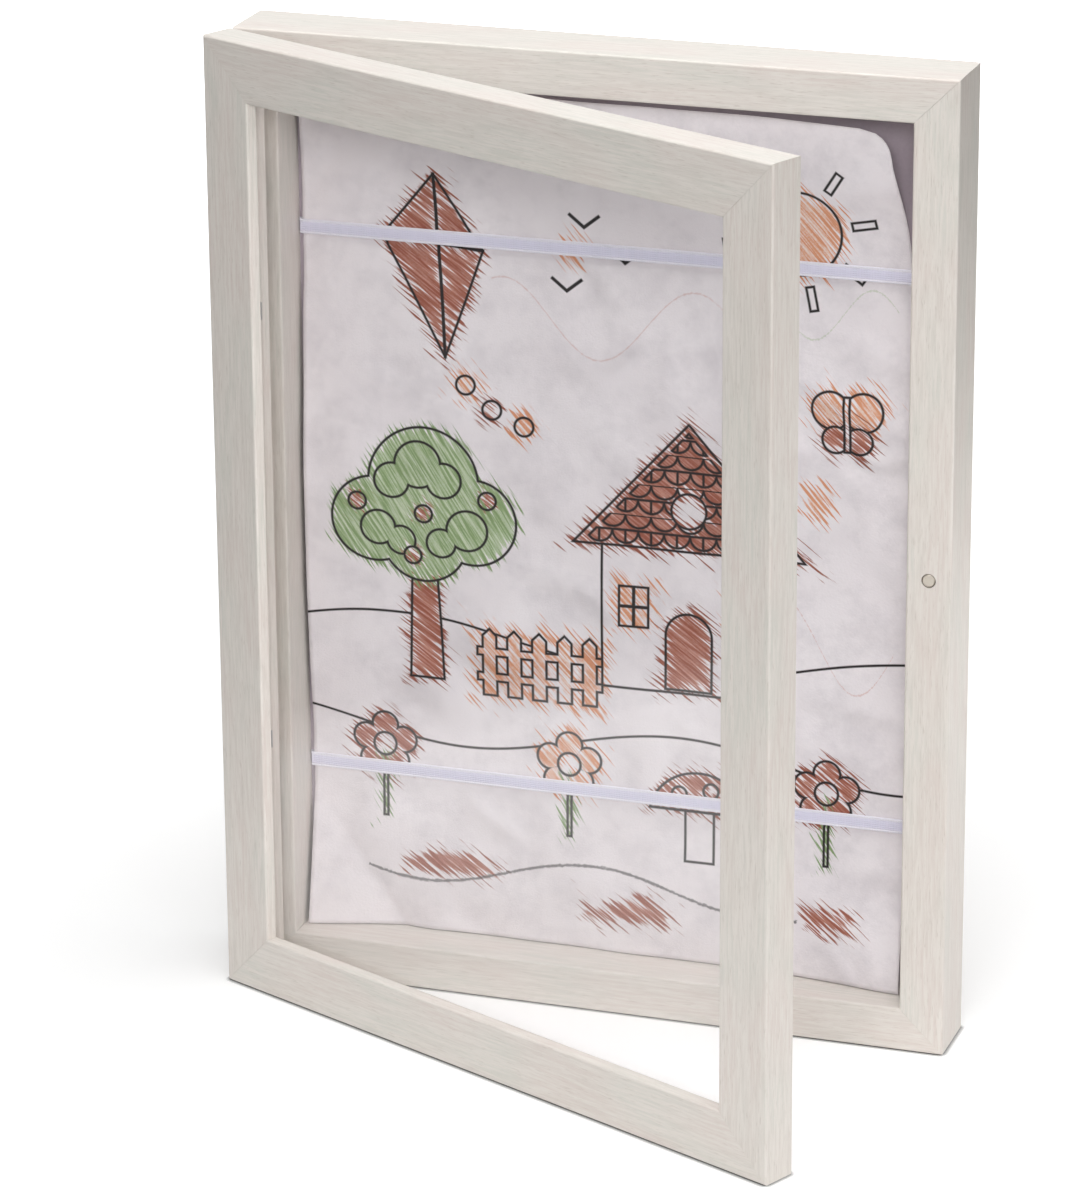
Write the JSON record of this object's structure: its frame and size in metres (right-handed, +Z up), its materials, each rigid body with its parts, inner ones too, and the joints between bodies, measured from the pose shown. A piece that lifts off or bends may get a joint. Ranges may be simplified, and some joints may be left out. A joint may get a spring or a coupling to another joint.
{
  "type": "childrens art frame",
  "caption": "Front-opening display frame for children's drawings: a shallow mitred box with elastic straps across the sheet and a glazed door hinged on the left, held shut by magnets.",
  "frame": {"origin": "under the middle of the box's bottom rail, on the shelf that the frame stands on", "axes": "+Z up, +X to the viewer's right along the frame's face, -Y out of the front towards the room"},
  "size_m": [0.2492, 0.1411, 0.332],
  "materials": {
    "whitewashed_moulding": "wood moulding wrapped in whitewashed grain foil, satin",
    "lilac_grey_board": "thin fibreboard faced in lilac grey paper, matt",
    "clear_acrylic": "clear polished sheet",
    "drawing_paper": "matt drawing paper with crayon",
    "woven_elastic": "woven elastic braid with corded edges",
    "zinc_plated_steel": "zinc plated, satin",
    "nickel_plated_magnet": "nickel plated",
    "white_rubber": "soft matt"
  },
  "bodies": {
    "display_box": {"back_panel": "lilac_grey_board", "box_bottom_rail": "whitewashed_moulding", "box_corner_nail_bottom_left": "zinc_plated_steel", "box_corner_nail_bottom_right": "zinc_plated_steel", "box_corner_nail_top_left": "zinc_plated_steel", "box_corner_nail_top_right": "zinc_plated_steel", "box_left_stile": "whitewashed_moulding", "box_magnet": "nickel_plated_magnet", "box_right_stile": "whitewashed_moulding", "box_top_rail": "whitewashed_moulding", "drawing_sheet": "drawing_paper", "elastic_strap_bottom": "woven_elastic", "elastic_strap_top": "woven_elastic", "hanger_side": "zinc_plated_steel", "hanger_side_nail_a": "zinc_plated_steel", "hanger_side_nail_b": "zinc_plated_steel", "hanger_top": "zinc_plated_steel", "hanger_top_nail_a": "zinc_plated_steel", "hanger_top_nail_b": "zinc_plated_steel", "hinge_bottom_box_leaf": "zinc_plated_steel", "hinge_bottom_box_screw_high": "zinc_plated_steel", "hinge_bottom_box_screw_low": "zinc_plated_steel", "hinge_bottom_pin": "zinc_plated_steel", "hinge_top_box_leaf": "zinc_plated_steel", "hinge_top_box_screw_high": "zinc_plated_steel", "hinge_top_box_screw_low": "zinc_plated_steel", "hinge_top_pin": "zinc_plated_steel", "panel_tab_bottom": "zinc_plated_steel", "panel_tab_left_high": "zinc_plated_steel", "panel_tab_left_low": "zinc_plated_steel", "panel_tab_right_high": "zinc_plated_steel", "panel_tab_right_low": "zinc_plated_steel", "panel_tab_top": "zinc_plated_steel", "strap_staple_bottom_left": "zinc_plated_steel", "strap_staple_bottom_right": "zinc_plated_steel", "strap_staple_top_left": "zinc_plated_steel", "strap_staple_top_right": "zinc_plated_steel", "wall_stop_left": "white_rubber", "wall_stop_right": "white_rubber"},
    "front_door": {"clear_pane": "clear_acrylic", "door_bottom_rail": "whitewashed_moulding", "door_corner_nail_bottom_left": "zinc_plated_steel", "door_corner_nail_bottom_right": "zinc_plated_steel", "door_corner_nail_top_left": "zinc_plated_steel", "door_corner_nail_top_right": "zinc_plated_steel", "door_left_stile": "whitewashed_moulding", "door_magnet": "nickel_plated_magnet", "door_right_stile": "whitewashed_moulding", "door_top_rail": "whitewashed_moulding", "hinge_bottom_door_leaf": "zinc_plated_steel", "hinge_bottom_door_screw_high": "zinc_plated_steel", "hinge_bottom_door_screw_low": "zinc_plated_steel", "hinge_top_door_leaf": "zinc_plated_steel", "hinge_top_door_screw_high": "zinc_plated_steel", "hinge_top_door_screw_low": "zinc_plated_steel", "pane_point_left_high": "zinc_plated_steel", "pane_point_left_low": "zinc_plated_steel", "pane_point_right_high": "zinc_plated_steel", "pane_point_right_low": "zinc_plated_steel"}
  },
  "joints": [
    {"name": "door_hinge", "type": "hinge", "parent": "display_box", "child": "front_door", "pos_m": [-0.1242, -0.01275, 0], "axis": [0, 0, -1], "range_deg": [-24.5, 155.5]}
  ]
}
